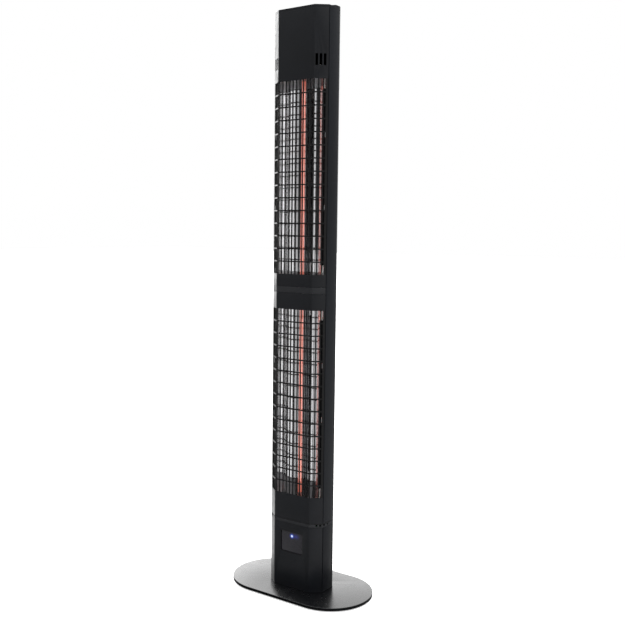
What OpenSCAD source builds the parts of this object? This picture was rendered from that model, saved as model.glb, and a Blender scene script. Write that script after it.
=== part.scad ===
// Free-standing tower heater for terraces: two guarded infrared lamps one above
// the other, a control module below them, and a stadium-shaped steel base plate.
// Origin: centre of the base plate on the floor. Front faces -Y, up is +Z.

/* [Base] */
// Length of the base plate, along X
base_l = 407; // [360:1:460]
// Breadth of the base plate, along Y
base_b = 226; // [190:1:260]
// Thickness of the base plate
base_t = 8; // [5:0.5:12]
// Thickness of the rubber pads under the plate
foot_t = 2.6; // [2:0.1:5]

/* [Tower] */
// Height from the floor to the cap's front edge
tower_h = 1500; // [1480:1:1600]
// Full width of the tower
tower_w = 167.4; // [164:0.2:172]
// Width of the flat between the two front chamfers
flat_w = 111.5; // [108:0.5:114]
// Distance from the origin to the front face
front_y = 47; // [46:0.5:49]
// Depth of the front chamfers
chamfer_d = 22; // [21:0.5:23]
// Distance from the origin to the back face
back_y = 37; // [36:0.5:40]
// Radius of the two rear corners
corner_r = 19; // [15:1:26]
// Width of the lengthwise groove between front panels and rear housing
groove_w = 3; // [2.5:0.1:3.5]
// Thickness of the front panels
panel_t = 1.8; // [1.5:0.1:2]
// Wall of the rear housing
wall_t = 2; // [1.6:0.1:2.2]
// Thickness of the top cap's plate
cap_t = 6; // [4:0.5:8]

/* [Control module] */
// Height of the module's top edge above the floor
module_top = 182.6; // [180:0.2:188]
// Width of the display window
window_w = 72; // [60:1:74]
// Height of the display window
window_h = 57; // [45:1:60]
// Height of the window's centre above the floor
window_z = 132; // [125:1:140]
// How far the window lies behind the front face
window_recess = 2; // [1:0.5:7]

/* [Lamp sections] */
// Lower edge of the lower guarded opening
lower_z = 261.8; // [255:0.2:265]
// Lower edge of the upper guarded opening
upper_z = 837.2; // [830:0.2:840]
// Height of one row of guard cells
cell_h = 32.33; // [31:0.01:33]
// Rows of guard cells in one opening
cell_rows = 15; // [14:1:15]
// Height of a guard crossbar
crossbar_h = 3.2; // [2.5:0.1:4]
// Diameter of a guard wire
wire_d = 3.4; // [2.5:0.1:3.4]
// Guard wires on the front flat
flat_wires = 11; // [9:2:13]
// Outer diameter of the quartz tube
tube_d = 10.5; // [9:0.5:11]
// How far the lamp's axis lies in front of the origin
lamp_y = 12; // [11:0.5:14]

/* [Hidden] */
$fn = 48;
eps = 0.01;

// Section of the tower
side_x = tower_w / 2;
flat_x = flat_w / 2;
yf = -front_y;
yg = yf + chamfer_d;                    // rear end of the front chamfer
ys = yg + groove_w;                     // front end of the side wall
slope_len = sqrt(pow(side_x - flat_x, 2) + pow(chamfer_d, 2));
slope_c = (side_x - flat_x) / slope_len;
slope_s = chamfer_d / slope_len;
slope_angle = atan2(chamfer_d, side_x - flat_x);
lip_w = 6;

// Heights
plate_top = foot_t + base_t;
shadow_gap = 0.8;                       // between the module's top edge and its rim
rim_z0 = module_top + shadow_gap;
rim_z1 = rim_z0 + 8;
gasket_t = 2;
tower_z = rim_z1 + gasket_t;
section_h = cell_h * cell_rows;
cap_z = tower_h - cap_t;
band_z0 = 789.5;
band_z1 = 805.2;

// x on the right-hand chamfer, set in by t, at depth y
function chamfer_x(y, t) = flat_x - t * slope_s + (y - yf - t * slope_c) / slope_s * slope_c;
// point on the right-hand chamfer, a distance s from its front edge and set in by t
function chamfer_point(s, t) =
    [flat_x + s * slope_c - t * slope_s, yf + s * slope_s + t * slope_c];
function mirrored(points) = [for (i = [len(points) - 1 : -1 : 0]) [-points[i][0], points[i][1]]];

// Half of a front panel's section, from the front face round to the inner lip
function half_panel(t, lip) = [[flat_x, yf], [side_x, yg],
    [side_x - lip, yg], [side_x - lip, yg - t],
    [chamfer_x(yg - t, t), yg - t], [chamfer_x(yf + t, t), yf + t]];

module panel_section(t, lip) {
    polygon(concat(half_panel(t, lip), mirrored(half_panel(t, lip))));
}

// Solid outline with two square front corners and two round rear corners
module round_back(half_w, y0, y1, r) {
    translate([-half_w, y0]) square([2 * half_w, y1 - r - y0]);
    translate([-half_w + r, y0]) square([2 * (half_w - r), y1 - y0]);
    for (side = [-1, 1]) translate([side * (half_w - r), y1 - r]) circle(r);
}

module bent_sheet(z0, z1) {
    translate([0, 0, z0]) linear_extrude(z1 - z0) panel_section(panel_t, lip_w);
}

module along_y(x, y, z) { translate([x, y, z]) rotate([-90, 0, 0]) children(); }

module rounded_window(w, h, r) {
    square([w - 2 * r, h], center = true);
    square([w, h - 2 * r], center = true);
    for (x = [-1, 1], z = [-1, 1]) translate([x * (w / 2 - r), z * (h / 2 - r)]) circle(r);
}

// Extrudes an upright X-Z outline from depth y0 to depth y1, centred at height z
module facing_front(y0, y1, z) {
    translate([0, y1, z]) rotate([90, 0, 0]) linear_extrude(y1 - y0) children();
}

// ---------- base ----------
base_screw_places = [for (x = [-30, 30], y = [-3, 26]) [x, y]];
screw_r = 3;
head_r = 6;
head_h = 3;
tip_y = -21;
plunger_r = 4;

module base_plate() {
    r = base_b / 2;
    color([0.10, 0.10, 0.11]) difference() {
        translate([0, 0, foot_t]) linear_extrude(base_t) {
            square([base_l - base_b, base_b], center = true);
            for (side = [-1, 1]) translate([side * (base_l / 2 - r), 0]) circle(r, $fn = 96);
        }
        for (p = base_screw_places) translate([p[0], p[1], foot_t]) {
            translate([0, 0, -1]) cylinder(r = screw_r + 0.2, h = base_t + 2);
            translate([0, 0, -eps]) cylinder(r1 = head_r + 0.3, r2 = screw_r + 0.2, h = head_h + 0.2);
        }
        translate([0, tip_y, 0]) cylinder(r = plunger_r + 0.6, h = plate_top + 1);
    }
}

module base_feet() {
    foot_r = 11;
    color([0.05, 0.05, 0.05]) for (a = [0 : 60 : 300])
        translate([165 * cos(a + 30), 88 * sin(a + 30), 0]) cylinder(r = foot_r, h = foot_t);
}

module base_screws() {
    color([0.55, 0.55, 0.57]) for (p = base_screw_places) translate([p[0], p[1], foot_t + 0.2])
        difference() {
            union() {
                cylinder(r1 = head_r, r2 = screw_r, h = head_h);
                cylinder(r = screw_r, h = base_t + 7);
            }
            translate([0, 0, -1]) cylinder(r = 2.3, h = 2.8, $fn = 6);
        }
}

// Steel foot inside the module: a flange and two square posts that carry the housing
post_x = 49.5;
post_w = 20;
post_y0 = back_y - wall_t - post_w;
post_top = 250;
flange_t = 4;
cover_screw_z = [26, 174];
bolt_z = [206, 238];

module mounting_frame() {
    color([0.45, 0.46, 0.48]) difference() {
        union() {
            translate([-61, -11, plate_top]) cube([122, 45, flange_t]);
            for (side = [-1, 1])
                translate([side * post_x - post_w / 2, post_y0, plate_top + flange_t])
                    cube([post_w, post_w, post_top - plate_top - flange_t]);
        }
        for (side = [-1, 1]) {
            translate([side * post_x - post_w / 2 + 2, post_y0 + 2, plate_top + flange_t + 2])
                cube([post_w - 4, post_w - 4, post_top]);
            for (z = bolt_z) along_y(side * post_x, post_y0 + 10, z) cylinder(r = 3.1, h = 20);
            for (z = cover_screw_z) along_y(side * post_x, post_y0 + 10, z) cylinder(r = 2.1, h = 20);
            for (z = standoff_z) along_y(side * post_x, post_y0 - 5, z) cylinder(r = 1.6, h = 10);
        }
        for (p = base_screw_places) translate([p[0], p[1], 0]) cylinder(r = screw_r + 0.05, h = 30);
    }
}

// Button-head screw whose shank runs towards -Y from the face at depth y
module rear_screw(x, y, z, shank_r, shank_l, head_r, head_h) {
    along_y(x, y, z) difference() {
        union() {
            cylinder(r1 = head_r, r2 = head_r * 0.7, h = head_h);
            translate([0, 0, -shank_l]) cylinder(r = shank_r, h = shank_l + eps);
        }
        translate([0, 0, head_h - 1.6]) cylinder(r = head_r * 0.38, h = 2, $fn = 6);
    }
}

module mounting_bolts() {
    color([0.16, 0.16, 0.17]) for (side = [-1, 1], z = bolt_z)
        rear_screw(side * post_x, back_y, z, 3, 9, 5.4, 3);
}

// ---------- control module ----------
shell_split_y = back_y - corner_r;      // side seam between the shell and its back cover
groove_depth = 2.6;

module shell_outline(t) {
    x = side_x - t;
    polygon(concat(
        [[chamfer_x(yf + t, t), yf + t], [x, yg + t * 0.4], [x, shell_split_y]],
        [[-x, shell_split_y], [-x, yg + t * 0.4], [-chamfer_x(yf + t, t), yf + t]]));
}

module module_shell() {
    color([0.09, 0.09, 0.10]) difference() {
        translate([0, 0, plate_top]) linear_extrude(module_top - plate_top) difference() {
            shell_outline(0);
            difference() {
                shell_outline(3);
                translate([-100, shell_split_y - eps]) square([200, 10]);
            }
            // the back is open
            translate([-side_x + 3, shell_split_y - 5]) square([2 * side_x - 6, 10]);
            // lengthwise groove that carries on the tower's groove
            for (side = [-1, 1]) translate([side * (side_x - groove_depth / 2), yg + groove_w / 2])
                square([groove_depth + eps, groove_w], center = true);
        }
        facing_front(yf - 1, yf + 5, window_z) rounded_window(window_w, window_h, 5);
    }
}

switch_z = 108;
switch_w = 19;
switch_h = 29;
gland_z = 46;
gland_r = 8;

module module_back_cover() {
    color([0.09, 0.09, 0.10]) difference() {
        translate([0, 0, plate_top]) linear_extrude(module_top - plate_top) difference() {
            round_back(side_x, ys, back_y, corner_r);
            round_back(side_x - wall_t, ys - 5, back_y - wall_t, corner_r - wall_t);
            translate([-100, ys - 10]) square([200, shell_split_y + 0.4 - ys + 10]);
        }
        facing_front(back_y - 5, back_y + 1, switch_z) square([switch_w + 0.4, switch_h + 0.4], center = true);
        along_y(0, back_y - 5, gland_z) cylinder(r = gland_r + 0.1, h = 8);
        for (side = [-1, 1], z = cover_screw_z)
            along_y(side * post_x, back_y - 5, z) cylinder(r = 2.15, h = 8);
    }
}

module module_cover_screws() {
    color([0.16, 0.16, 0.17]) for (side = [-1, 1], z = cover_screw_z)
        rear_screw(side * post_x, back_y, z, 2, 8, 3.8, 2.2);
}

// Moulded rim between the module and the tower, with vent notches in its top edge
notch_z = rim_z0 + 2.6;
chamfer_notches = [[19.4, 4.4], [29, 4.4]];      // place along the chamfer, and width
side_notches = [[-18.6, 7], [-3.2, 5]];          // depth from the origin, and width

module rim_ring(outside, inside) {
    difference() {
        offset_outline(outside);
        offset_outline(inside);
    }
}

module module_rim() {
    color([0.16, 0.16, 0.17]) difference() {
        union() {
            translate([0, 0, module_top]) linear_extrude(shadow_gap + eps) rim_ring(1.1, 1.8);
            translate([0, 0, rim_z0]) linear_extrude(rim_z1 - rim_z0) rim_ring(0, wall_t);
        }
        for (side = [-1, 1]) {
            for (n = chamfer_notches)
                translate([side * chamfer_point(n[0], 0)[0], chamfer_point(n[0], 0)[1], notch_z])
                    rotate([0, 0, side * slope_angle]) translate([-n[1] / 2, -7, 0]) cube([n[1], 14, 10]);
            for (n = side_notches)
                translate([side * side_x - 7, n[0] - n[1] / 2, notch_z]) cube([14, n[1], 10]);
        }
    }
}

module seam_gasket() {
    color([0.03, 0.03, 0.03]) translate([0, 0, rim_z1]) linear_extrude(gasket_t) difference() {
        offset_outline(1.5);
        offset_outline(4.5);
        for (side = [-1, 1]) translate([side * post_x, back_y]) square([post_w + 0.4, 2 * post_w], center = true);
    }
}

// Whole outline of the tower, set in by t
module offset_outline(t) {
    x = side_x - t;
    polygon([[chamfer_x(yf + t, t), yf + t], [x, yg + t * 0.4], [x, shell_split_y + 1],
        [-x, shell_split_y + 1], [-x, yg + t * 0.4], [-chamfer_x(yf + t, t), yf + t]]);
    round_back(x, yg + t * 0.4, back_y - t, corner_r - t);
}

// ---------- display ----------
bezel_t = 1.2;
window_t = 1.6;
window_y = yf + window_recess;

module display_bezel() {
    color([0.06, 0.06, 0.07]) difference() {
        union() {
            facing_front(yf + 0.2, window_y + window_t, window_z)
                rounded_window(window_w - 0.2, window_h - 0.2, 4.9);
            facing_front(yf + 3, yf + 4.5, window_z) rounded_window(window_w + 7, window_h + 7, 6);
        }
        facing_front(yf - 1, max(window_y + window_t, yf + 4.5) + 1, window_z)
            rounded_window(window_w - 2 * bezel_t, window_h - 2 * bezel_t, 4);
    }
}

module display_window() {
    color([0.12, 0.12, 0.13]) facing_front(window_y, window_y + window_t, window_z)
        rounded_window(window_w - 2 * bezel_t - 0.2, window_h - 2 * bezel_t - 0.2, 3.9);
}

board_t = 1.6;
light_z = window_z + 16.5;
display_board_y = window_y + window_t + 5;

module display_board() {
    color([0.05, 0.25, 0.12]) translate([-32, display_board_y, window_z - 24]) cube([64, board_t, 48]);
}

module status_light() {
    color([0.45, 0.6, 1]) along_y(0, window_y + window_t, light_z) {
        cylinder(r = 2.4, h = 4);
        translate([0, 0, 4]) cylinder(r = 2.9, h = 1);
    }
}

module infrared_receiver() {
    color([0.08, 0.05, 0.08]) {
        translate([10, display_board_y - 3, light_z - 4]) cube([7, 3, 8]);
        along_y(13.5, display_board_y - 4.2, light_z) cylinder(r = 2.4, h = 1.3);
    }
}

// ---------- mains parts inside the module ----------
standoff_z = [60, 166];
standoff_l = 6;
power_board_y = post_y0 - standoff_l - board_t;

module power_board() {
    color([0.05, 0.25, 0.12]) difference() {
        translate([-57, power_board_y, 50]) cube([114, board_t, 126]);
        for (side = [-1, 1], z = standoff_z)
            along_y(side * post_x, power_board_y - 1, z) cylinder(r = 1.6, h = 4);
    }
}

module board_standoffs() {
    color([0.7, 0.7, 0.72]) for (side = [-1, 1], z = standoff_z)
        along_y(side * post_x, power_board_y, z) {
            translate([0, 0, -1.8]) cylinder(r = 2.8, h = 1.8);
            translate([0, 0, -0.1]) cylinder(r = 1.5, h = board_t + 0.2);
            translate([0, 0, board_t]) cylinder(r = 3, h = standoff_l, $fn = 6);
            translate([0, 0, board_t + standoff_l - 0.1]) cylinder(r = 1.5, h = 4.1);
        }
}

module power_relays() {
    color([0.1, 0.2, 0.5]) for (x = [-36, -8, 20])
        translate([x, power_board_y - 15.5, 128]) cube([19, 15.5, 20]);
}

module terminal_block() {
    color([0.85, 0.85, 0.8]) difference() {
        translate([-22, power_board_y - 14, 58]) cube([44, 14, 20]);
        for (x = [-16.5 : 11 : 16.5]) translate([x, power_board_y - 7, 57]) cylinder(r = 2.6, h = 12);
        for (x = [-16.5 : 11 : 16.5]) along_y(x, power_board_y - 15, 72) cylinder(r = 2, h = 5);
    }
}

// ---------- rear rocker switch ----------
pivot_y = back_y - 4;
rocker_w = 14.6;
rocker_r = 12;
rocker_tilt = 7;                         // the rest position has its upper half pressed in
axle_r = 1.5;

module switch_frame() {
    color([0.05, 0.05, 0.05]) {
        difference() {
            union() {
                facing_front(back_y - 17, back_y + eps, switch_z) square([switch_w, switch_h], center = true);
                facing_front(back_y, back_y + 1.8, switch_z) rounded_window(switch_w + 4, switch_h + 4, 2);
            }
            facing_front(back_y - 15, back_y + 3, switch_z)
                square([rocker_w + 0.8, 2 * rocker_r + 0.8], center = true);
        }
        translate([-rocker_w / 2 - 1, pivot_y, switch_z]) rotate([0, 90, 0])
            cylinder(r = axle_r, h = rocker_w + 2);
    }
}

module rocker_button() {
    half = rocker_r + 2;
    color([0.07, 0.07, 0.07]) translate([-rocker_w / 2, pivot_y, switch_z]) rotate([rocker_tilt, 0, 0])
        rotate([90, 0, 90]) linear_extrude(rocker_w) difference() {
            intersection() {
                circle(rocker_r, $fn = 96);
                polygon([[-4, -half], [8.2, -half], [6.2, 0], [8.2, half], [-4, half]]);
            }
            circle(axle_r + 0.05);
        }
}

// ---------- cable gland ----------
cable_r = 4.6;

module cable_gland_body() {
    color([0.06, 0.06, 0.06]) along_y(0, back_y, gland_z) difference() {
        union() {
            translate([0, 0, -9]) cylinder(r = gland_r, h = 9 + eps);
            cylinder(r = 12, h = 4, $fn = 6);
            translate([0, 0, 4 - eps]) cylinder(r = 8.4, h = 7);
        }
        translate([0, 0, -10]) cylinder(r = cable_r, h = 30);
    }
}

module cable_gland_cap() {
    color([0.06, 0.06, 0.06]) along_y(0, back_y + 4.2, gland_z) difference() {
        union() {
            cylinder(r = 11, h = 9, $fn = 6);
            translate([0, 0, 9 - eps]) cylinder(r1 = 9.4, r2 = 7.4, h = 6);
        }
        translate([0, 0, -1]) cylinder(r = 8.45, h = 8.2);
        translate([0, 0, 5]) cylinder(r = cable_r, h = 12);
    }
}

module cable_gland_locknut() {
    color([0.06, 0.06, 0.06]) along_y(0, back_y - wall_t - 4.5, gland_z) difference() {
        cylinder(r = 12, h = 4.4, $fn = 6);
        translate([0, 0, -1]) cylinder(r = gland_r + 0.05, h = 7);
    }
}

// ---------- tip-over switch ----------
tip_floor = plate_top + 5.4;
tip_roof = 40;
collar_z = tip_floor + 4.2;
collar_r = 6.6;

module tip_switch_housing() {
    color([0.85, 0.83, 0.78]) difference() {
        translate([-9, tip_y - 9, plate_top]) cube([18, 18, 33.4]);
        translate([0, tip_y, plate_top - 1]) cylinder(r = plunger_r + 0.05, h = 10);
        translate([0, tip_y, tip_floor]) cylinder(r = collar_r + 0.2, h = tip_roof - tip_floor);
    }
}

module tip_switch_plunger() {
    color([0.9, 0.9, 0.88]) translate([0, tip_y, 0]) {
        cylinder(r = plunger_r, h = collar_z + 1);
        translate([0, 0, collar_z]) cylinder(r = collar_r, h = 2);
        translate([0, 0, collar_z + 1]) cylinder(r = 2.4, h = 9);
    }
}

module tip_switch_spring() {
    color([0.7, 0.7, 0.72]) translate([0, tip_y, collar_z + 2]) difference() {
        cylinder(r = 5.6, h = tip_roof - collar_z - 2);
        translate([0, 0, -1]) cylinder(r = 4.2, h = 30);
    }
}

// ---------- tower structure ----------
module rear_housing() {
    color([0.13, 0.13, 0.14]) difference() {
        translate([0, 0, tower_z]) linear_extrude(cap_z - tower_z) difference() {
            round_back(side_x, ys, back_y, corner_r);
            difference() {
                round_back(side_x - wall_t, ys - 5, back_y - wall_t, corner_r - wall_t);
                for (side = [-1, 1]) translate([side * (side_x - lip_w / 2), ys + wall_t / 2])
                    square([lip_w, wall_t], center = true);
            }
        }
        for (side = [-1, 1], z = bolt_z)
            along_y(side * post_x, back_y - 5, z) cylinder(r = 3.15, h = 8);
    }
}

cap_screw_x = [-60, 60];
cap_screw_y = 20;
cap_rise = 4.6;                          // the cap slopes up to a higher flat at the back
rise_y0 = -16;
rise_y1 = 4;

module top_cap() {
    color([0.09, 0.09, 0.10]) difference() {
        union() {
            translate([0, 0, cap_z]) linear_extrude(cap_t + cap_rise) offset_outline(0);
            translate([0, 0, cap_z - 10]) linear_extrude(10 + eps) difference() {
                round_back(side_x - wall_t - 0.2, ys + wall_t + 0.4, back_y - wall_t - 0.2, corner_r - wall_t);
                round_back(side_x - wall_t - 2, ys + wall_t + 2.4, back_y - wall_t - 2, corner_r - wall_t - 2);
            }
        }
        translate([-side_x - 5, 0, tower_h]) rotate([90, 0, 90]) linear_extrude(2 * side_x + 10)
            polygon([[yf - 5, 0], [rise_y0, 0], [rise_y1, cap_rise], [rise_y1, cap_rise + 5],
                [yf - 5, cap_rise + 5]]);
        for (x = cap_screw_x)
            translate([x, cap_screw_y, cap_z - 1]) cylinder(r = 2.1, h = cap_t + cap_rise + 2);
    }
}

module top_cap_screws() {
    color([0.16, 0.16, 0.17]) for (x = cap_screw_x)
        translate([x, cap_screw_y, tower_h + cap_rise]) difference() {
            translate([0, 0, -18]) cylinder(r = 2, h = 18);
            translate([0, 0, -1]) cylinder(r = 1.1, h = 2, $fn = 6);
        }
}

slot_w = 6.4;
slot_z0 = 1354;
slot_z1 = 1382.5;
slot_places = [6, 16.3, 26.6];

module top_panel() {
    color([0.09, 0.09, 0.10]) difference() {
        bent_sheet(upper_z + section_h, cap_z);
        for (side = [-1, 1], s = slot_places)
            translate([side * chamfer_point(s, 0)[0], chamfer_point(s, 0)[1], (slot_z0 + slot_z1) / 2])
                rotate([0, 0, side * slope_angle]) cube([slot_w, 8, slot_z1 - slot_z0], center = true);
    }
}

band_gap = 0.5;

module upper_middle_panel() { color([0.09, 0.09, 0.10]) bent_sheet(band_z1 + band_gap, upper_z); }

module joint_band() {
    color([0.16, 0.16, 0.17]) translate([0, 0, band_z0]) linear_extrude(band_z1 - band_z0)
        panel_section(panel_t + 0.6, lip_w);
}

module lower_middle_panel() { color([0.09, 0.09, 0.10]) bent_sheet(lower_z + section_h, band_z0 - band_gap); }

module bottom_panel() { color([0.09, 0.09, 0.10]) bent_sheet(tower_z, lower_z); }

module side_seals() {
    color([0.02, 0.02, 0.02]) for (side = [-1, 1])
        translate([side * (side_x - 3 - (lip_w - 3) / 2) - (lip_w - 3) / 2, yg, tower_z])
            cube([lip_w - 3, groove_w, cap_z - tower_z]);
}

clip_z = [210, 460, 600, 777, 838, 1000, 1180, 1400, 1465];
clip_h = 12;
clip_t = 1.2;

module panel_clips() {
    x0 = side_x - lip_w;
    y1 = ys + wall_t;
    color([0.6, 0.6, 0.62]) for (side = [-1, 1], z = clip_z) translate([0, 0, z])
        mirror([side < 0 ? 1 : 0, 0, 0]) linear_extrude(clip_h)
            polygon([[x0, yg - panel_t], [x0, y1], [x0 + 4, y1], [x0 + 4, y1 + clip_t],
                [x0 - clip_t, y1 + clip_t], [x0 - clip_t, yg - panel_t]]);
}

// ---------- guards ----------
rail_s = 29.9;                           // where the opening ends on the chamfer
guard_set = 0.1;                         // crossbars lie this far behind the side rails' face
guard_t = 2;
wire_bite = 0.15;
wire_sides = 12;
wire_turn = 180 / wire_sides;            // brings a flat of the wire towards the crossbars
wire_overrun = 8;
flat_wire_x = 53.7;
chamfer_wire_s = [11.7, 24.1];
flange_x = 66.8;                         // inner edge of the flange behind each side rail
flange_y = [yg - 1.6, yg - 0.2];
flange_end = 25;                         // leaves room for the leads at both ends

module guard_wire(turn) {
    rotate([0, 0, turn + wire_turn]) translate([0, 0, -wire_overrun])
        cylinder(r = wire_d / 2, h = section_h + 2 * wire_overrun, $fn = wire_sides);
}

module guard(z0) {
    back = guard_set + guard_t;
    depth = back - wire_bite + wire_d / 2 * cos(wire_turn);
    rail = [chamfer_point(rail_s, 0), [side_x, yg], [side_x - lip_w, yg],
        [side_x - lip_w, yg - panel_t], [chamfer_x(yg - panel_t, panel_t), yg - panel_t],
        chamfer_point(rail_s, panel_t)];
    color([0.07, 0.07, 0.07]) {
        for (side = [0, 1]) translate([0, 0, z0]) mirror([side, 0, 0])
            linear_extrude(section_h) polygon(rail);
        for (side = [0, 1]) mirror([side, 0, 0]) difference() {
            translate([flange_x, flange_y[0], z0 + flange_end])
                cube([side_x - lip_w + 1.3 - flange_x, flange_y[1] - flange_y[0], section_h - 2 * flange_end]);
            // room for the panel clips
            for (z = clip_z) translate([side_x - lip_w - clip_t - 1, yg - 5, z - 1]) cube([10, 10, clip_h + 2]);
        }
        strip = [[chamfer_x(yf + guard_set, guard_set), yf + guard_set],
            chamfer_point(rail_s + 1, guard_set), chamfer_point(rail_s + 1, back),
            [chamfer_x(yf + back, back), yf + back]];
        for (i = [1 : cell_rows - 1]) translate([0, 0, z0 + i * cell_h - crossbar_h / 2])
            linear_extrude(crossbar_h) polygon(concat(strip, mirrored(strip)));
        for (i = [0 : flat_wires - 1])
            translate([-flat_wire_x + i * 2 * flat_wire_x / (flat_wires - 1), yf + depth, z0]) guard_wire(0);
        for (side = [-1, 1], s = chamfer_wire_s)
            translate([side * chamfer_point(s, depth)[0], chamfer_point(s, depth)[1], z0])
                guard_wire(side * slope_angle);
    }
}

module upper_guard() { guard(upper_z); }
module lower_guard() { guard(lower_z); }

// ---------- reflectors ----------
reflector_t = 0.6;
ridge = [0, 4.3];                        // tip of the ridge behind the lamp
lobe_in = [24, 27];                      // floor of a lobe, inner and outer ends
lobe_out = [26.5, 27];
wing = [73, -20.5];                      // outer edge of a wing
ridge_bulge = 3.4;
wing_bulge = 6;
ridge_steps = 8;
wing_steps = 18;

// Points from a to b, bowed by d to the left of that direction
function bowed(a, b, d, steps) = [for (i = [0 : steps]) let (q = i / steps, l = norm(b - a))
    a + (b - a) * q + [-(b - a)[1], (b - a)[0]] * d * sin(180 * q) / l];
reflector_half = concat(bowed(ridge, lobe_in, ridge_bulge, ridge_steps),
    bowed(lobe_out, wing, wing_bulge, wing_steps));
function without_first(list) = [for (i = [1 : len(list) - 1]) list[i]];
function reversed(list) = [for (i = [len(list) - 1 : -1 : 0]) list[i]];
reflector_line = concat(mirrored(without_first(reflector_half)), reflector_half);
function shifted_back(line, d) = [for (i = [len(line) - 1 : -1 : 0]) let (
        a = line[max(i - 1, 0)], b = line[min(i + 1, len(line) - 1)],
        l = norm(b - a)) line[i] + [-(b - a)[1], (b - a)[0]] * d / l];

module reflector(z0) {
    color([0.85, 0.85, 0.87]) translate([0, 0, z0 - 1]) linear_extrude(section_h + 2)
        polygon(concat(reflector_line, shifted_back(reflector_line, reflector_t)));
}

module upper_reflector() { reflector(upper_z); }
module lower_reflector() { reflector(lower_z); }

end_plate_t = 0.8;
end_plate_set = 5.4;                     // stays clear of the guard wires

module end_plates(z0) {
    inner = yf + end_plate_set;
    right = [[chamfer_x(inner, end_plate_set), inner],
        [chamfer_x(wing[1] - 4, end_plate_set), wing[1] - 4]];
    color([0.7, 0.7, 0.72]) for (z = [z0 - 1.1 - end_plate_t, z0 + section_h + 1.1])
        translate([0, 0, z]) linear_extrude(end_plate_t) difference() {
            polygon(concat(mirrored(right), right, reversed(reflector_line)));
            translate([0, -lamp_y]) circle(tube_d / 2 + 0.9);
            for (side = [-1, 1]) translate([side * lead_x, lead_y]) circle(lead_r + 0.6);
        }
}

module upper_end_plates() { end_plates(upper_z); }
module lower_end_plates() { end_plates(lower_z); }

// ---------- lamps ----------
tube_overrun = 14;
tube_wall = 1;
cold_end = 27;
cap_offset = 9;
cap_l = 26;

module lamp_tube(z0) {
    color([0.95, 0.85, 0.8, 0.5]) translate([0, -lamp_y, z0 - tube_overrun]) difference() {
        cylinder(r = tube_d / 2, h = section_h + 2 * tube_overrun);
        translate([0, 0, -1]) cylinder(r = tube_d / 2 - tube_wall, h = section_h + 2 * tube_overrun + 2);
    }
}

module filament(z0) {
    color([1, 0.35, 0.15]) translate([0, -lamp_y, z0 + cold_end])
        cylinder(r = 2, h = section_h - 2 * cold_end);
}

module lamp_caps(z0) {
    color([0.92, 0.9, 0.85]) for (end = [0, 1])
        translate([0, -lamp_y, end == 0 ? z0 - cap_offset : z0 + section_h + cap_offset])
            mirror([0, 0, end == 0 ? 1 : 0]) difference() {
                translate([-8, -6.5, 0]) cube([16, 13, cap_l]);
                translate([0, 0, -1]) cylinder(r = tube_d / 2 + 0.05, h = 6.1);
                translate([0, 0, cap_l - 6]) cylinder(r = 2.2, h = 10);
            }
}

bracket_t = 1.2;
bracket_w = 18;

module lamp_brackets(z0) {
    x = side_x - wall_t;
    color([0.6, 0.6, 0.62]) for (end = [0, 1])
        translate([0, 0, end == 0 ? z0 - cap_offset - 4 : z0 + section_h + cap_offset + 4])
            mirror([0, 0, end == 0 ? 1 : 0]) difference() {
                union() {
                    translate([-x, ys + wall_t + 0.2, 0]) cube([2 * x, bracket_w, bracket_t]);
                    for (side = [-1, 1]) translate([side < 0 ? -x : x - bracket_t, ys + wall_t + 0.2, 0])
                        cube([bracket_t, bracket_w, 16]);
                }
                translate([-8.2, -lamp_y - 6.7, -5]) cube([16.4, 13.4, 20]);
            }
}

// ---------- leads from the lamps down to the module ----------
lead_r = 1.7;
lead_x = 72;
lead_y = -25.8;
lead_end_z = 150;

module rod(a, b) {
    v = b - a;
    l = norm(v);
    translate(a) rotate([0, acos(v[2] / l), atan2(v[1], v[0])]) cylinder(r = lead_r, h = l, $fn = 24);
}

module lead(points) {
    for (i = [0 : len(points) - 2]) rod(points[i], points[i + 1]);
    for (i = [1 : len(points) - 2]) translate(points[i]) sphere(r = lead_r + 0.15, $fn = 24);
}

// One lead: out of a cap that points along dir, across the tower, past the bracket and the
// end plate, round the reflector's edge and down the side channel
module lamp_lead(z, dir, channel) {
    reach = cap_offset + cap_l;
    lead([[0, -lamp_y, z + dir * (reach - 5)], [0, -lamp_y, z + dir * (reach + 5)],
        [lead_x - 22, 2, z + dir * (reach + 5)], [lead_x, lead_y, z + dir * 12],
        [lead_x, lead_y, z - dir * 20],
        [lead_x + 3.5, -21, z - dir * 26], [77.5, -9, z - dir * 32],
        [channel[0], channel[1], z - dir * 32 - 13], [channel[0], channel[1], lead_end_z]]);
}

module lamp_leads(z0, top_channel, bottom_channel) {
    color([0.92, 0.91, 0.88]) {
        lamp_lead(z0 + section_h, 1, top_channel);
        lamp_lead(z0, -1, bottom_channel);
    }
}

module upper_lamp_leads() { lamp_leads(upper_z, [77.5, 9], [71, 15]); }
module lower_lamp_leads() { lamp_leads(lower_z, [77, 3], [71, 5]); }

module upper_lamp_tube() { lamp_tube(upper_z); }
module lower_lamp_tube() { lamp_tube(lower_z); }
module upper_filament() { filament(upper_z); }
module lower_filament() { filament(lower_z); }
module upper_lamp_caps() { lamp_caps(upper_z); }
module lower_lamp_caps() { lamp_caps(lower_z); }
module upper_lamp_brackets() { lamp_brackets(upper_z); }
module lower_lamp_brackets() { lamp_brackets(lower_z); }

// ---------- heat shields and cut-outs ----------
shield_t = 0.8;
shield_y = 30.5;

module heat_shield(z0) {
    line = [[-72, -6], [-56, shield_y], [56, shield_y], [72, -6]];
    color([0.7, 0.7, 0.72]) translate([0, 0, z0]) linear_extrude(section_h)
        polygon(concat(line, shifted_back(line, shield_t)));
}

module upper_heat_shield() { heat_shield(upper_z); }
module lower_heat_shield() { heat_shield(lower_z); }

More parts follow.
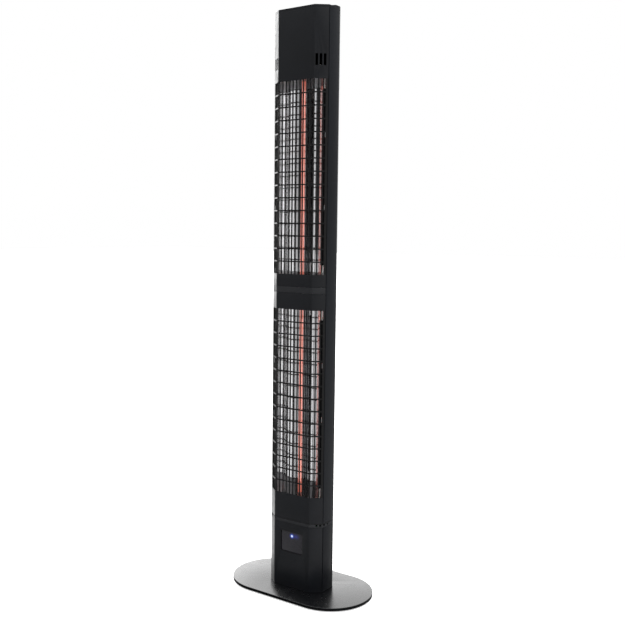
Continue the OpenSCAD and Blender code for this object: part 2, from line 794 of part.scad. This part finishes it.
module thermal_cutouts() {
    color([0.75, 0.74, 0.7]) for (z0 = [lower_z, upper_z])
        along_y(0, shield_y - 9, z0 + section_h / 2) {
            cylinder(r = 5, h = 5);
            translate([0, 0, 5]) cylinder(r = 8, h = 4);
        }
}

base_plate();
base_feet();
base_screws();
mounting_frame();
mounting_bolts();
module_shell();
module_back_cover();
module_cover_screws();
module_rim();
seam_gasket();
display_bezel();
display_window();
display_board();
status_light();
infrared_receiver();
power_board();
board_standoffs();
power_relays();
terminal_block();
switch_frame();
rocker_button();
cable_gland_body();
cable_gland_cap();
cable_gland_locknut();
tip_switch_housing();
tip_switch_plunger();
tip_switch_spring();
rear_housing();
top_cap();
top_cap_screws();
top_panel();
upper_middle_panel();
joint_band();
lower_middle_panel();
bottom_panel();
side_seals();
panel_clips();
upper_guard();
lower_guard();
upper_reflector();
lower_reflector();
upper_end_plates();
lower_end_plates();
upper_lamp_tube();
lower_lamp_tube();
upper_filament();
lower_filament();
upper_lamp_caps();
lower_lamp_caps();
upper_lamp_brackets();
lower_lamp_brackets();
upper_lamp_leads();
lower_lamp_leads();
upper_heat_shield();
lower_heat_shield();
thermal_cutouts();
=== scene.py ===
# Free-standing tower heater for terraces: two guarded infrared lamps one above the
# other in a folded-steel front, an aluminium rear housing, a control module below
# them and a stadium-shaped steel base plate. Lengths are in metres.
import math

import bpy
from mathutils import Matrix, Vector


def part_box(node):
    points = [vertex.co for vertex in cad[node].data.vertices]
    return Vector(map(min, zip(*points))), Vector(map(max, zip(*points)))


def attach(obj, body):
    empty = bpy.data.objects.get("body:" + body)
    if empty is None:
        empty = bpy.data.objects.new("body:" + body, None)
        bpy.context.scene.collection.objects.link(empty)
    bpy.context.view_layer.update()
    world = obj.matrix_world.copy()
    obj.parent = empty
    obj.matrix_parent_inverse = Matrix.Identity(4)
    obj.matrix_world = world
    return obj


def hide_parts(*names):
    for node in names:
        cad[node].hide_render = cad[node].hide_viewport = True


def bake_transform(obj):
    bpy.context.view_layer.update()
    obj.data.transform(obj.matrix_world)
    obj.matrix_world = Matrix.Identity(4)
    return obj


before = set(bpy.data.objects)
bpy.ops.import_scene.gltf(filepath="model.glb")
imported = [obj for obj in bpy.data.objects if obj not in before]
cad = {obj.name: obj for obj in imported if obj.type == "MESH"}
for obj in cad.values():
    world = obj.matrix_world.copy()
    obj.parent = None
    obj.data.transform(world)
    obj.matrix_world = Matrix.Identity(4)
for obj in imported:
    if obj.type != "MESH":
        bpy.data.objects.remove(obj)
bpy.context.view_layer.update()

# ---------- Camera ----------
# A camera at chest height, a little to the right of the heater's front, far enough
# off for the whole tower. It is turned by a hair to the side and rolled by a hair.
camera_distance = 2.24878
camera_azimuth = math.radians(35.83)
camera_height = 0.9478
camera_heading = camera_azimuth - math.radians(0.54)
camera_pitch = math.radians(5.38)
camera_roll = math.radians(0.67)

forward = Vector((
    -math.sin(camera_heading) * math.cos(camera_pitch),
    math.cos(camera_heading) * math.cos(camera_pitch),
    -math.sin(camera_pitch),
))
level_right = forward.cross(Vector((0, 0, 1))).normalized()
level_up = level_right.cross(forward)
right = level_right * math.cos(camera_roll) + level_up * math.sin(camera_roll)
up = level_up * math.cos(camera_roll) - level_right * math.sin(camera_roll)
camera_data = bpy.data.cameras.new("camera")
camera_data.sensor_width = 36
camera_data.lens = 49.92
camera_data.clip_start = 0.05
camera_data.clip_end = 100
camera = bpy.data.objects.new("camera", camera_data)
camera.matrix_world = Matrix((
    (right.x, up.x, -forward.x, camera_distance * math.sin(camera_azimuth)),
    (right.y, up.y, -forward.y, -camera_distance * math.cos(camera_azimuth)),
    (right.z, up.z, -forward.z, camera_height),
    (0, 0, 0, 1),
))
bpy.context.scene.collection.objects.link(camera)
bpy.context.scene.camera = camera

# ---------- Studio ----------
# A white room, bright behind the heater and to its left, softer at its sides and dim
# straight in front. The camera sees a pale floor; a darker one just under it lights
# the heater from below and shows in its coats.
bpy.context.scene.view_settings.view_transform = "Standard"
world = bpy.data.worlds.new("studio")
bpy.context.scene.world = world
world.use_nodes = True


def add_node(tree, kind, settings=None, values=None):
    """A new node in tree, with its settings and the values of its input sockets."""
    made = tree.nodes.new(kind)
    for key, value in (settings or {}).items():
        setattr(made, key, value)
    for key, value in (values or {}).items():
        made.inputs[key].default_value = value
    return made


def set_stops(ramp, stops):
    """Gives a colour ramp its stops, each a place and a grey level or a colour."""
    elements = ramp.color_ramp.elements
    while len(elements) > 1:
        elements.remove(elements[-1])
    for index, (place, shade) in enumerate(stops):
        element = elements[0] if index == 0 else elements.new(place)
        element.position = place
        colour = (shade, shade, shade) if isinstance(shade, (int, float)) else shade
        element.color = (*colour, 1)


def compass(degrees):
    """Where an azimuth, 0 in front of the heater and 90 on its right, lies on the ramp."""
    return degrees / 360 + 0.5


def by_azimuth(tree, source, stops, peak):
    """Grey levels that follow the azimuth of a direction or place, as shares of peak,
    and the height of that direction or place."""
    parts = add_node(tree, "ShaderNodeSeparateXYZ")
    minus_y = add_node(tree, "ShaderNodeMath", {"operation": "MULTIPLY"}, {1: -1})
    azimuth = add_node(tree, "ShaderNodeMath", {"operation": "ARCTAN2"})
    turn = add_node(
        tree, "ShaderNodeMath", {"operation": "MULTIPLY_ADD"}, {1: 0.5 / math.pi, 2: 0.5})
    levels = add_node(tree, "ShaderNodeValToRGB")
    set_stops(levels, [(compass(degrees), level / peak) for degrees, level in stops])
    tree.links.new(source, parts.inputs[0])
    tree.links.new(parts.outputs["Y"], minus_y.inputs[0])
    tree.links.new(parts.outputs["X"], azimuth.inputs[0])
    tree.links.new(minus_y.outputs[0], azimuth.inputs[1])
    tree.links.new(azimuth.outputs[0], turn.inputs[0])
    tree.links.new(turn.outputs[0], levels.inputs[0])
    return levels.outputs[0], parts.outputs["Z"]


# Each stop is an azimuth in degrees and the room's brightness there.
room_peak = 5.6
room_walls = [
    (-180, 1.8), (-140, 2.4), (-122, 5.0), (-106, 5.6), (-97, 1.2), (-70, 0.55), (-40, 0.5),
    (-30, 1.0), (-25, 0.9), (-20, 0.03), (27, 0.03), (32, 0.7), (60, 1.25), (85, 1.3),
    (110, 0.38), (155, 0.36), (180, 1.4),
]
wall_top = 0.62
ceiling_edge = 0.85
ceiling_grey = (0.42, 0.42, 0.42, 1)
backdrop_white = (1, 1, 1, 1)
mix_first, mix_second, mix_result = 6, 7, 2

tree = world.node_tree
tree.nodes.clear()
direction = add_node(tree, "ShaderNodeTexCoord")
walls, rise = by_azimuth(tree, direction.outputs["Generated"], room_walls, room_peak)
overhead = add_node(tree, "ShaderNodeValToRGB")
set_stops(overhead, [(wall_top, 0.0), (ceiling_edge, 1.0)])
ceiling = add_node(tree, "ShaderNodeMix", {"data_type": "RGBA"}, {mix_second: ceiling_grey})
room = add_node(tree, "ShaderNodeBackground", None, {"Strength": room_peak})
seen = add_node(tree, "ShaderNodeBackground", None, {"Color": backdrop_white, "Strength": 1.0})
path = add_node(tree, "ShaderNodeLightPath")
either = add_node(tree, "ShaderNodeMixShader")
out = add_node(tree, "ShaderNodeOutputWorld")
tree.links.new(rise, overhead.inputs[0])
tree.links.new(overhead.outputs[0], ceiling.inputs[0])
tree.links.new(walls, ceiling.inputs[mix_first])
tree.links.new(ceiling.outputs[mix_result], room.inputs["Color"])
tree.links.new(path.outputs["Is Camera Ray"], either.inputs[0])
tree.links.new(room.outputs[0], either.inputs[1])
tree.links.new(seen.outputs[0], either.inputs[2])
tree.links.new(either.outputs[0], out.inputs["Surface"])


def new_material(name):
    """A material with its Principled shader, its Object coordinates and its tree."""
    material = bpy.data.materials.new(name)
    material.use_nodes = True
    nodes = material.node_tree
    shader = nodes.nodes["Principled BSDF"]
    place = add_node(nodes, "ShaderNodeTexCoord")
    return material, nodes, shader, place.outputs["Object"]


def add_noise(nodes, place, scale, detail=2.0, stretch=(1, 1, 1)):
    """A noise pattern of so many cycles a metre, drawn out along an axis by stretch."""
    mapping = add_node(nodes, "ShaderNodeMapping", None, {"Scale": stretch})
    noise = add_node(nodes, "ShaderNodeTexNoise", None, {"Scale": scale, "Detail": detail})
    nodes.links.new(place, mapping.inputs["Vector"])
    nodes.links.new(mapping.outputs[0], noise.inputs["Vector"])
    return noise.outputs["Fac"]


def add_range(nodes, source, low, high, start=0.3, end=0.7):
    """Turns a pattern's start and end into the values low and high."""
    spread = add_node(nodes, "ShaderNodeMapRange", None, {
        "From Min": start, "From Max": end, "To Min": low, "To Max": high})
    nodes.links.new(source, spread.inputs["Value"])
    return spread.outputs["Result"]


def add_shades(nodes, source, dark, light, start=0.3, end=0.7):
    """Turns a pattern into a colour between dark and light."""
    ramp = add_node(nodes, "ShaderNodeValToRGB")
    set_stops(ramp, [(start, dark), (end, light)])
    nodes.links.new(source, ramp.inputs[0])
    return ramp.outputs[0]


def set_roughness(nodes, shader, pattern, low, high):
    """Lets the shader's roughness vary between low and high with a pattern."""
    nodes.links.new(add_range(nodes, pattern, low, high), shader.inputs["Roughness"])


def add_bump(nodes, shader, height, depth):
    """Gives the shader a relief so deep, in metres, from a pattern's heights."""
    bump = add_node(nodes, "ShaderNodeBump", None, {"Strength": 1.0, "Distance": depth})
    nodes.links.new(height, bump.inputs["Height"])
    nodes.links.new(bump.outputs[0], shader.inputs["Normal"])


def studio_floor(name, height, albedo, glow, peak, width=60):
    """A wide floor near the origin's level, with its shade and its own light, which
    follows the azimuth."""
    material, nodes, shader, place = new_material(name)
    shader.inputs["Base Color"].default_value = (albedo, albedo, albedo, 1)
    shader.inputs["Specular IOR Level"].default_value = 0.2
    shader.inputs["Emission Strength"].default_value = peak
    levels, _ = by_azimuth(nodes, place, glow, peak)
    nodes.links.new(levels, shader.inputs["Emission Color"])
    set_roughness(nodes, shader, add_noise(nodes, place, scale=3), low=0.75, high=0.85)
    bpy.ops.object.select_all(action="DESELECT")
    bpy.ops.mesh.primitive_plane_add(size=width, location=(0, 0, height))
    made = bpy.context.object
    made.name = name
    made.data.materials.append(material)
    return made


seen_glow = 0.6
seen_floor = studio_floor(
    "seen_floor", height=-0.0005, albedo=0.9, glow=[(0, seen_glow)], peak=seen_glow)
seen_floor.visible_diffuse = False
seen_floor.visible_glossy = False
seen_floor.visible_transmission = False
seen_floor.visible_shadow = False

bounce_peak = 2.1
bounce_glow = [
    (-180, 0.1), (-130, 1.4), (-120, 2.1), (-102, 2.1), (-92, 0.3), (-70, 0.0),
    (30, 0.0), (38, 0.5), (88, 0.6), (100, 0.0), (150, 0.0), (180, 0.1),
]
bounce_floor = studio_floor(
    "bounce_floor", height=-0.0007, albedo=0.3, glow=bounce_glow, peak=bounce_peak)
bounce_floor.visible_camera = False


# ---------- Base plate ----------
# An 8 mm laser-cut steel plate, stadium-shaped, with a satin black powder coat and a
# broken edge, whose cut side took less of the coat. Six thin rubber pads are stuck
# under it; screws go up through it.
def shaded_copy(name, radius=0.0, segments=2):
    """A CAD node's mesh in a piece of its own: merged, its edges rounded by radius,
    and its curved faces shaded smooth."""
    merge_distance = 0.000002
    flat_angle = math.radians(0.5)
    rounded_angle = math.radians(28)
    smooth_angle = math.radians(36)
    bpy.ops.object.select_all(action="DESELECT")
    piece = bpy.data.objects.new(name + "_finished", cad[name].data.copy())
    bpy.context.scene.collection.objects.link(piece)
    piece.select_set(True)
    bpy.context.view_layer.objects.active = piece
    bpy.ops.object.mode_set(mode="EDIT")
    bpy.ops.mesh.select_all(action="SELECT")
    bpy.ops.mesh.customdata_custom_splitnormals_clear()
    bpy.ops.mesh.remove_doubles(threshold=merge_distance)
    if radius:
        bpy.ops.mesh.dissolve_limited(angle_limit=flat_angle)
    bpy.ops.object.mode_set(mode="OBJECT")
    if radius:
        bevel = piece.modifiers.new("rounded_edges", "BEVEL")
        bevel.width = radius
        bevel.segments = segments
        bevel.limit_method = "ANGLE"
        bevel.angle_limit = rounded_angle
        bpy.ops.object.modifier_apply(modifier=bevel.name)
    bpy.ops.object.shade_smooth_by_angle(angle=smooth_angle)
    return piece


def settle(piece, material, node, body="heater"):
    """Gives a finished piece its material and its body, and hides the CAD node it stands in
    for.
    """
    piece.data.materials.clear()
    piece.data.materials.append(material)
    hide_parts(node)
    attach(piece, body)


def dress(node, material):
    """Gives a CAD node that stays as it is its own finish."""
    for held in cad[node].material_slots:
        held.material = material


def coated(name, colour, roughness, grain=1100, depth=0.00002, clouding=0.12, sheen=0.5):
    """A powder-coated or moulded surface: a fine grain in relief, a gloss that varies
    a little, and a colour that is faintly clouded."""
    material, nodes, shader, place = new_material(name)
    shader.inputs["Specular IOR Level"].default_value = sheen
    clouds = add_noise(nodes, place, scale=14, detail=4)
    dark = [c * (1 - clouding) for c in colour]
    light = [c * (1 + clouding) for c in colour]
    nodes.links.new(add_shades(nodes, clouds, dark, light), shader.inputs["Base Color"])
    fine = add_noise(nodes, place, scale=grain, detail=2)
    coarse = add_noise(nodes, place, scale=grain / 14, detail=3)
    set_roughness(nodes, shader, coarse, low=roughness - 0.035, high=roughness + 0.045)
    add_bump(nodes, shader, fine, depth)
    return material


base_black = coated(
    "base_black_steel", (0.0020, 0.0023, 0.003), roughness=0.245, grain=700,
    depth=0.000003, clouding=0.15, sheen=1.0)
plate_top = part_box("base_plate")[1].z
nodes = base_black.node_tree
coat_place = add_node(nodes, "ShaderNodeTexCoord")
coat_parts = add_node(nodes, "ShaderNodeSeparateXYZ")
nodes.links.new(coat_place.outputs["Object"], coat_parts.inputs[0])
coat_sheen = add_range(
    nodes, coat_parts.outputs["Z"], low=0.05, high=1.0,
    start=plate_top - 0.0011, end=plate_top - 0.0003)
nodes.links.new(coat_sheen, nodes.nodes["Principled BSDF"].inputs["Specular IOR Level"])
plate = shaded_copy("base_plate", radius=0.0012, segments=3)
settle(plate, base_black, "base_plate")

rubber = coated(
    "black_rubber", (0.012, 0.012, 0.012), roughness=0.7, grain=500, depth=0.00006,
    clouding=0.25)
feet = shaded_copy("base_feet", radius=0.0004)
settle(feet, rubber, "base_feet")


def plated(name, colour, roughness, grain=260, depth=0.000015):
    """Zinc-plated steel: a bright metal with a soft spangle and faint scratches."""
    material, nodes, shader, place = new_material(name)
    shader.inputs["Metallic"].default_value = 1.0
    spangle = add_node(nodes, "ShaderNodeTexVoronoi", None, {"Scale": grain})
    nodes.links.new(place, spangle.inputs["Vector"])
    dark = [c * 0.82 for c in colour]
    spangled = add_shades(nodes, spangle.outputs["Color"], dark, colour, start=0.2, end=0.9)
    nodes.links.new(spangled, shader.inputs["Base Color"])
    scratches = add_noise(nodes, place, scale=600, detail=3, stretch=(1, 1, 0.05))
    set_roughness(nodes, shader, scratches, low=roughness - 0.08, high=roughness + 0.1)
    add_bump(nodes, shader, scratches, depth)
    return material


zinc = plated("zinc_steel", (0.56, 0.57, 0.59), roughness=0.34)
screws = shaded_copy("base_screws")
settle(screws, zinc, "base_screws")

# ---------- Mounting frame ----------
# A steel foot inside the module: a flange under the screws and two square posts, zinc
# plated. Four black button-head bolts hold the rear housing to the posts.
dress("mounting_frame", zinc)
screw_black = coated(
    "black_screws", (0.014, 0.014, 0.015), roughness=0.32, grain=1600, depth=0.00001,
    clouding=0.2)
bolts = shaded_copy("mounting_bolts", radius=0.0004)
settle(bolts, screw_black, "mounting_bolts")

# ---------- Control module ----------
# A folded steel shell with the same section as the tower, satin black, and a pressed
# back cover held by four small screws. A moulded rim with vent notches and a soft black
# gasket lie between it and the tower.
satin_black = coated(
    "satin_black_steel", (0.0050, 0.0060, 0.0085), roughness=0.38, grain=900,
    depth=0.000016, clouding=0.16, sheen=0.25)
shell = shaded_copy("module_shell", radius=0.0009)
settle(shell, satin_black, "module_shell")
back_cover = shaded_copy("module_back_cover", radius=0.0006)
settle(back_cover, satin_black, "module_back_cover")
cover_screws = shaded_copy("module_cover_screws", radius=0.0003)
settle(cover_screws, screw_black, "module_cover_screws")
band_black = coated(
    "band_black_plastic", (0.016, 0.017, 0.020), roughness=0.5, grain=700,
    depth=0.00003, clouding=0.1, sheen=0.3)
rim = shaded_copy("module_rim", radius=0.0005)
settle(rim, band_black, "module_rim")
dress("seam_gasket", rubber)

# ---------- Display ----------
# A moulded bezel round a smoked touch window that is set back 2 mm. Behind the window
# are the lit pilot light, the receiver for the hand control and their board.
moulded_black = coated(
    "black_plastic", (0.0045, 0.0045, 0.005), roughness=0.46, grain=1300,
    depth=0.00003, clouding=0.14, sheen=0.3)
bezel = shaded_copy("display_bezel", radius=0.0003)
settle(bezel, moulded_black, "display_bezel")

light_low, light_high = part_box("status_light")
light_x = (light_low.x + light_high.x) / 2
light_z = (light_low.z + light_high.z) / 2

smoked, nodes, shader, place = new_material("smoked_panel")
shader.inputs["Base Color"].default_value = (0.014, 0.013, 0.019, 1)
shader.inputs["Specular IOR Level"].default_value = 0.35
shader.inputs["Coat Weight"].default_value = 0.25
shader.inputs["Coat Roughness"].default_value = 0.06
smears = add_noise(nodes, place, scale=60, detail=3)
set_roughness(nodes, shader, smears, low=0.16, high=0.26)


def add_glow(nodes, place, centre_x, centre_z, half_width, half_height, stops):
    """An oval painted glow of light on an upright panel; its stops run from the centre to the
    rim.
    """
    through_panel = 1000
    centred = add_node(nodes, "ShaderNodeMapping", {"vector_type": "TEXTURE"}, {
        "Location": (centre_x, 0, centre_z),
        "Scale": (half_width, through_panel, half_height)})
    reach = add_node(nodes, "ShaderNodeVectorMath", {"operation": "LENGTH"})
    glow = add_node(nodes, "ShaderNodeValToRGB")
    set_stops(glow, stops)
    nodes.links.new(place, centred.inputs["Vector"])
    nodes.links.new(centred.outputs[0], reach.inputs[0])
    nodes.links.new(reach.outputs["Value"], glow.inputs[0])
    return glow.outputs[0]


# Painted light on the smoked window: its emission carries a painted halo of the pilot light's
# glow round the light and a faint painted blue streak of that glow to its right.
halo_shades = [
    (0.0, (1.0, 1.0, 1.0)), (0.24, (0.62, 0.76, 1.0)), (0.34, (0.05, 0.10, 0.55)),
    (0.62, (0.004, 0.008, 0.06)), (1.0, (0.0, 0.0, 0.0)),
]
painted_streak_shades = [
    (0.0, (0.012, 0.020, 0.16)), (0.5, (0.004, 0.006, 0.05)), (1.0, (0.0, 0.0, 0.0)),
]
halo = add_glow(
    nodes, place, light_x, light_z, half_width=0.010, half_height=0.010, stops=halo_shades)
painted_streak = add_glow(
    nodes, place, light_x + 0.013, light_z + 0.001, half_width=0.014, half_height=0.009,
    stops=painted_streak_shades)
both = add_node(nodes, "ShaderNodeVectorMath", {"operation": "ADD"})
nodes.links.new(halo, both.inputs[0])
nodes.links.new(painted_streak, both.inputs[1])
nodes.links.new(both.outputs[0], shader.inputs["Emission Color"])
shader.inputs["Emission Strength"].default_value = 1.0
add_bump(nodes, shader, add_noise(nodes, place, scale=300), depth=0.000004)
window = shaded_copy("display_window", radius=0.0003)
settle(window, smoked, "display_window")

lit_lens, nodes, shader, place = new_material("light_lens")
shader.inputs["Base Color"].default_value = (0.6, 0.72, 1.0, 1)
shader.inputs["Emission Color"].default_value = (0.45, 0.62, 1.0, 1)
shader.inputs["Emission Strength"].default_value = 4.0
set_roughness(nodes, shader, add_noise(nodes, place, scale=400), low=0.1, high=0.3)
pilot = shaded_copy("status_light", radius=0.0003)
settle(pilot, lit_lens, "status_light")

receiver_lens = coated(
    "receiver_lens", (0.03, 0.012, 0.03), roughness=0.14, grain=500, depth=0.000004,
    clouding=0.2)
receiver = shaded_copy("infrared_receiver", radius=0.0003)
settle(receiver, receiver_lens, "infrared_receiver")

# ---------- Boards ----------
# Green glass-fibre boards with copper tracks under the varnish; three relays and a
# pale terminal block on the power board, which stands off the posts on hex pillars.
board_green, nodes, shader, place = new_material("circuit_board")
tracks = add_node(nodes, "ShaderNodeTexBrick", None, {
    "Scale": 180, "Mortar Size": 0.06, "Color1": (0.012, 0.10, 0.045, 1),
    "Color2": (0.016, 0.13, 0.055, 1), "Mortar": (0.05, 0.24, 0.10, 1)})
upright = add_node(nodes, "ShaderNodeMapping", None, {"Rotation": (math.radians(90), 0, 0)})
nodes.links.new(place, upright.inputs["Vector"])
nodes.links.new(upright.outputs[0], tracks.inputs["Vector"])
nodes.links.new(tracks.outputs["Color"], shader.inputs["Base Color"])
varnish = add_noise(nodes, place, scale=120, detail=3)
set_roughness(nodes, shader, varnish, low=0.25, high=0.4)
add_bump(nodes, shader, tracks.outputs["Fac"], depth=0.00003)
dress("display_board", board_green)
dress("power_board", board_green)
dress("board_standoffs", zinc)
relay_blue = coated(
    "relay_plastic", (0.012, 0.05, 0.22), roughness=0.4, grain=800, clouding=0.1)
relays = shaded_copy("power_relays", radius=0.0006)
settle(relays, relay_blue, "power_relays")
pale_plastic = coated(
    "terminal_plastic", (0.62, 0.61, 0.54), roughness=0.45, grain=900, depth=0.00003,
    clouding=0.06)
terminals = shaded_copy("terminal_block", radius=0.0004)
settle(terminals, pale_plastic, "terminal_block")

# ---------- Rocker switch ----------
# The mains switch in the back cover: a snap-in frame with a glossy rocker in it that
# tilts about an axle.
switch_frame = shaded_copy("switch_frame", radius=0.0004)
settle(switch_frame, moulded_black, "switch_frame")
rocker_black = coated(
    "rocker_plastic", (0.010, 0.010, 0.011), roughness=0.2, grain=500, depth=0.000006)
rocker = shaded_copy("rocker_button", radius=0.0005, segments=3)
settle(rocker, rocker_black, "rocker_button", body="rocker")

# ---------- Cable gland ----------
# A moulded gland for the mains cable, low on the back cover: hexagon body, cap nut
# and, inside, a locknut.
for name in ("cable_gland_body", "cable_gland_cap", "cable_gland_locknut"):
    gland = shaded_copy(name, radius=0.0005)
    settle(gland, moulded_black, name)

# ---------- Tip-over switch ----------
# A pale moulded housing on the base plate. A plunger with a collar is pushed up by the
# floor against a coil spring of 1.1 mm wire.
ivory = coated(
    "switch_plastic", (0.62, 0.59, 0.52), roughness=0.42, grain=900, clouding=0.06)
tip_housing = shaded_copy("tip_switch_housing", radius=0.0006)
settle(tip_housing, ivory, "tip_switch_housing")
plunger = shaded_copy("tip_switch_plunger", radius=0.0004)
settle(plunger, ivory, "tip_switch_plunger", body="tip_plunger")


def wound_coil(name, box, wire, turns, sides=8, steps=14):
    """A coil of round wire, so many turns about an upright axis, that fills a box."""
    low, high = box
    radius = (high.x - low.x) / 2 - wire / 2
    length = high.z - low.z - wire
    foot = ((low.x + high.x) / 2, (low.y + high.y) / 2, low.z + wire / 2)
    bpy.ops.object.select_all(action="DESELECT")
    bpy.ops.mesh.primitive_circle_add(
        vertices=sides, radius=wire / 2, fill_type="NOTHING", location=(0, 0, 0))
    coil = bpy.context.object
    coil.name = name
    bpy.ops.object.mode_set(mode="EDIT")
    bpy.ops.mesh.select_all(action="SELECT")
    bpy.ops.transform.rotate(value=math.radians(90), orient_axis="X", center_override=(0, 0, 0))
    bpy.ops.transform.translate(value=(radius, 0, 0))
    bpy.ops.object.mode_set(mode="OBJECT")
    winding = coil.modifiers.new("winding", "SCREW")
    winding.axis = "Z"
    winding.iterations = turns
    winding.screw_offset = length / turns
    winding.steps = steps
    winding.render_steps = steps
    winding.use_merge_vertices = False
    bpy.ops.object.modifier_apply(modifier=winding.name)
    bpy.ops.object.mode_set(mode="EDIT")
    bpy.ops.mesh.select_all(action="DESELECT")
    bpy.ops.mesh.select_mode(type="EDGE")
    bpy.ops.mesh.select_non_manifold()
    bpy.ops.mesh.edge_face_add()
    bpy.ops.mesh.select_all(action="SELECT")
    bpy.ops.mesh.normals_make_consistent(inside=False)
    bpy.ops.transform.translate(value=foot)
    bpy.ops.object.mode_set(mode="OBJECT")
    bpy.ops.object.shade_smooth_by_angle(angle=math.radians(50))
    return coil


coil_wire = 0.0011
spring_low, spring_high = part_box("tip_switch_spring")
spring = wound_coil("tip_switch_coil", (spring_low, spring_high), coil_wire, turns=6)
spring.data.materials.append(zinc)
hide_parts("tip_switch_spring")
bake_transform(spring)

# ---------- Rear housing ----------
# One aluminium extrusion, black anodised, with rounded rear corners; the drawing of
# the die leaves faint lines along it. Rubber seals and sprung clips close its edges.
anodised, nodes, shader, place = new_material("black_aluminium")
shader.inputs["Metallic"].default_value = 0.15
shader.inputs["Specular IOR Level"].default_value = 0.25
dye = add_noise(nodes, place, scale=10, detail=3, stretch=(1, 1, 0.15))
dyed = add_shades(nodes, dye, dark=(0.0070, 0.0082, 0.0112), light=(0.0105, 0.0125, 0.0165))
nodes.links.new(dyed, shader.inputs["Base Color"])
die_lines = add_noise(nodes, place, scale=900, stretch=(1, 1, 0.004))
set_roughness(nodes, shader, die_lines, low=0.36, high=0.46)
add_bump(nodes, shader, die_lines, depth=0.000012)
housing = shaded_copy("rear_housing", radius=0.0005)
settle(housing, anodised, "rear_housing")
dress("side_seals", rubber)
dress("panel_clips", zinc)

# ---------- Cap and front panels ----------
# Folded steel sheets, powder-coated satin black: a cap with a raised rear on two sunk
# socket screws and four front panels with soft bends. A moulded band lies where the
# two halves meet.
cap = shaded_copy("top_cap", radius=0.0009, segments=3)
settle(cap, satin_black, "top_cap")
cap_screws = shaded_copy("top_cap_screws", radius=0.0002)
settle(cap_screws, screw_black, "top_cap_screws")
for name in ("top_panel", "upper_middle_panel", "lower_middle_panel", "bottom_panel"):
    panel = shaded_copy(name, radius=0.0007, segments=3)
    settle(panel, satin_black, name)
band = shaded_copy("joint_band", radius=0.0006)
settle(band, band_black, "joint_band")

# ---------- Guards ----------
# A rail down each side, flanged behind, and flat crossbars folded over the chamfers,
# with round wires spot-welded behind them, all dipped in black heat-proof paint.
guard_black = coated(
    "guard_black_steel", (0.0035, 0.0035, 0.004), roughness=0.40, grain=1200,
    clouding=0.2, sheen=0.25)
for name in ("upper_guard", "lower_guard"):
    guard = shaded_copy(name)
    settle(guard, guard_black, name)

# ---------- Reflectors ----------
# Thin sheets of bright aluminium rolled into two lobes behind each lamp, between end
# plates of duller aluminium. Behind each sheet a plated heat shield carries a thermal
# cut-out.
mirror, nodes, shader, place = new_material("polished_aluminium")
shader.inputs["Metallic"].default_value = 1.0
rolling = add_noise(nodes, place, scale=420, detail=3, stretch=(1, 1, 0.01))
rolled = add_shades(nodes, rolling, dark=(0.78, 0.78, 0.80), light=(0.88, 0.88, 0.90))
nodes.links.new(rolled, shader.inputs["Base Color"])
set_roughness(nodes, shader, rolling, low=0.05, high=0.09)
waves = add_noise(nodes, place, scale=30, stretch=(1, 1, 0.2))
add_bump(nodes, shader, waves, depth=0.00001)
for name in ("upper_reflector", "lower_reflector"):
    reflector = shaded_copy(name)
    settle(reflector, mirror, name)

end_metal, nodes, shader, place = new_material("end_plate_aluminium")
shader.inputs["Metallic"].default_value = 1.0
brushing = add_noise(nodes, place, scale=500, detail=3, stretch=(0.02, 1, 1))
brushed = add_shades(nodes, brushing, dark=(0.09, 0.09, 0.095), light=(0.15, 0.15, 0.155))
nodes.links.new(brushed, shader.inputs["Base Color"])
set_roughness(nodes, shader, brushing, low=0.32, high=0.45)
add_bump(nodes, shader, brushing, depth=0.00002)
for name in ("upper_end_plates", "lower_end_plates"):
    dress(name, end_metal)
for name in ("upper_heat_shield", "lower_heat_shield", "thermal_cutouts"):
    dress(name, zinc)

# ---------- Lamps ----------
# Clear quartz tubes with a coiled filament in each, lit a dull orange, in square
# ceramic caps on plated brackets. Their leads wear a glass-fibre braid.
quartz, nodes, shader, place = new_material("quartz_glass")
shader.inputs["Base Color"].default_value = (1.0, 0.82, 0.78, 1)
shader.inputs["Transmission Weight"].default_value = 1.0
shader.inputs["IOR"].default_value = 1.46
shader.inputs["Emission Color"].default_value = (1.0, 0.26, 0.18, 1)
shader.inputs["Emission Strength"].default_value = 0.10
draw_lines = add_noise(nodes, place, scale=90, detail=3, stretch=(1, 1, 0.1))
set_roughness(nodes, shader, draw_lines, low=0.0, high=0.06)

glowing, nodes, shader, place = new_material("glowing_filament")
shader.inputs["Base Color"].default_value = (0.2, 0.08, 0.05, 1)
shader.inputs["Emission Strength"].default_value = 1.5
heat = add_noise(nodes, place, scale=25)
heated = add_shades(nodes, heat, dark=(1.0, 0.48, 0.40), light=(1.0, 0.58, 0.50))
nodes.links.new(heated, shader.inputs["Emission Color"])
set_roughness(nodes, shader, heat, low=0.4, high=0.6)

ceramic = coated(
    "lamp_ceramic", (0.74, 0.71, 0.64), roughness=0.6, grain=600, depth=0.00005,
    clouding=0.06)

braid, nodes, shader, place = new_material("glass_fibre_sleeve")
strand = add_node(
    nodes, "ShaderNodeTexWave", {"bands_direction": "DIAGONAL"},
    {"Scale": 700, "Distortion": 0.6})
nodes.links.new(place, strand.inputs["Vector"])
weave = strand.outputs["Fac"]
woven = add_shades(nodes, weave, dark=(0.52, 0.51, 0.47), light=(0.80, 0.79, 0.75))
nodes.links.new(woven, shader.inputs["Base Color"])
set_roughness(nodes, shader, weave, low=0.7, high=0.85)
add_bump(nodes, shader, weave, depth=0.0001)

for level in ("upper", "lower"):
    tube = shaded_copy(level + "_lamp_tube")
    settle(tube, quartz, level + "_lamp_tube")
    filament = wound_coil(
        level + "_filament_coil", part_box(level + "_filament"), coil_wire, turns=190,
        sides=6, steps=12)
    filament.data.materials.append(glowing)
    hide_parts(level + "_filament")
    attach(filament, "heater")
    caps = shaded_copy(level + "_lamp_caps", radius=0.0006)
    settle(caps, ceramic, level + "_lamp_caps")
    dress(level + "_lamp_brackets", zinc)
    leads = shaded_copy(level + "_lamp_leads")
    settle(leads, braid, level + "_lamp_leads")
